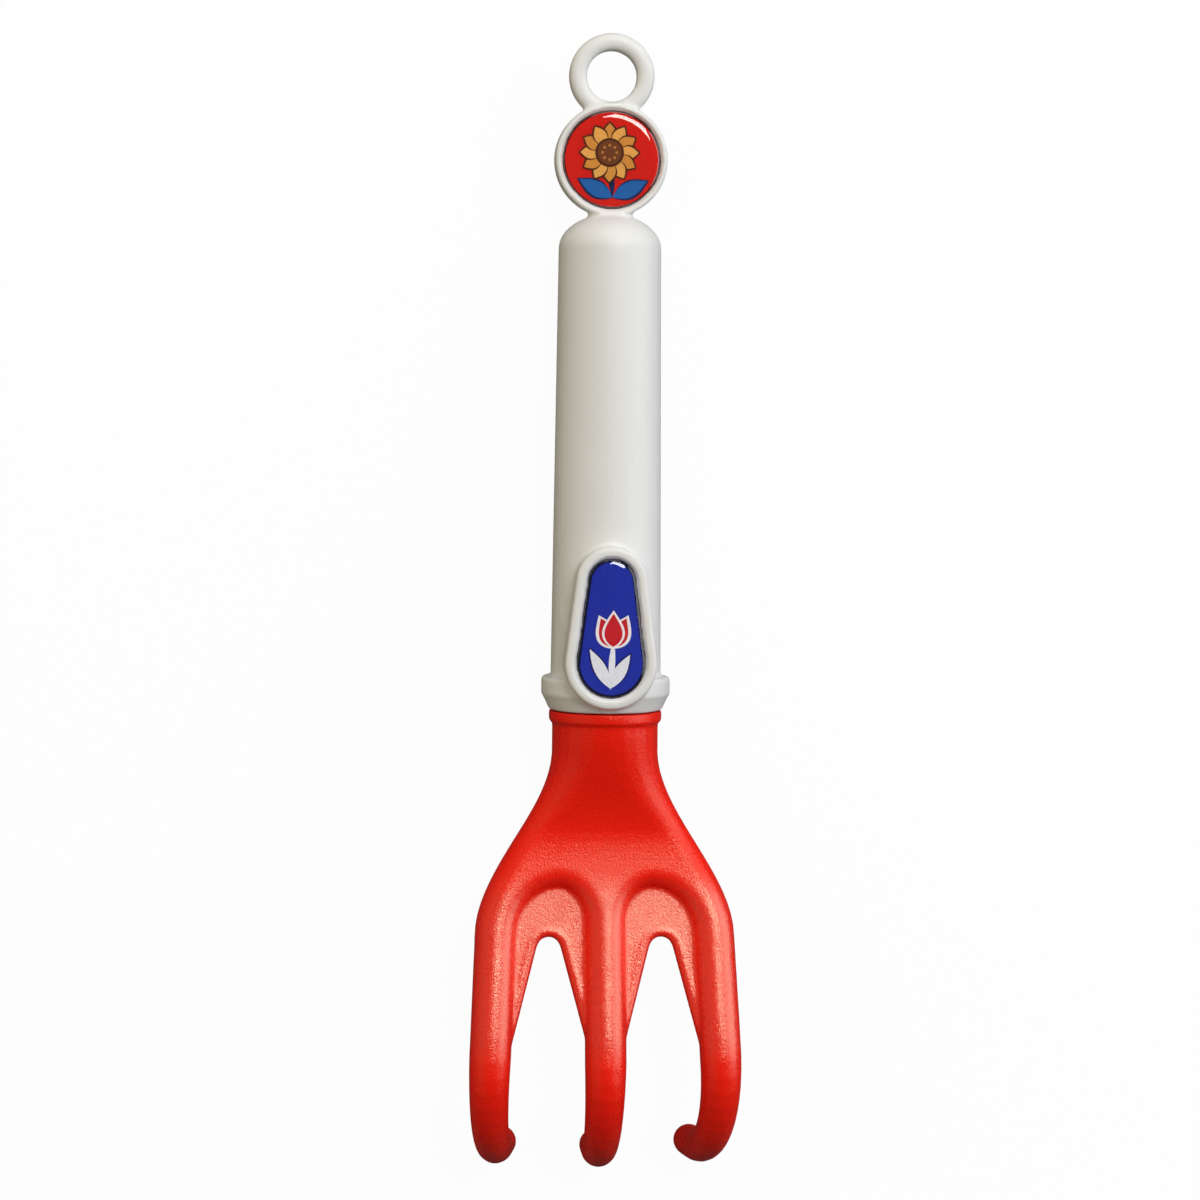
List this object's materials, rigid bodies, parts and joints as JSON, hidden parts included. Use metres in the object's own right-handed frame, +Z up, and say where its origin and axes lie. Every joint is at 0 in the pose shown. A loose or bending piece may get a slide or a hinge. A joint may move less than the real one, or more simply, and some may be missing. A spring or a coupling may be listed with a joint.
{
  "type": "child's hand cultivator",
  "caption": "Child's garden claw: hollow moulded grip with a collar, hanging ring and two domed labels, and a snapped-in head whose webbed tines hook back to draw through soil or sand.",
  "frame": {"origin": "middle of the lying tool's box, on the surface it lies on", "axes": "the tool lies on its tine tips and the back of its shoulder with the labels up: +Y along the tool towards the hanging ring, +Z up, X across the tines"},
  "size_m": [0.0652, 0.2746, 0.0369],
  "materials": {
    "handle_plastic": "satin off-white moulded polypropylene",
    "head_plastic": "finely textured red-orange moulded polypropylene",
    "round_film": "printed vinyl film",
    "drop_film": "printed vinyl film",
    "clear_resin": "clear glossy polyurethane dome"
  },
  "bodies": {
    "root": {"handle": "handle_plastic", "head": "head_plastic", "round_label": "round_film", "round_dome": "clear_resin", "drop_label": "drop_film", "drop_dome": "clear_resin"}
  },
  "joints": []
}
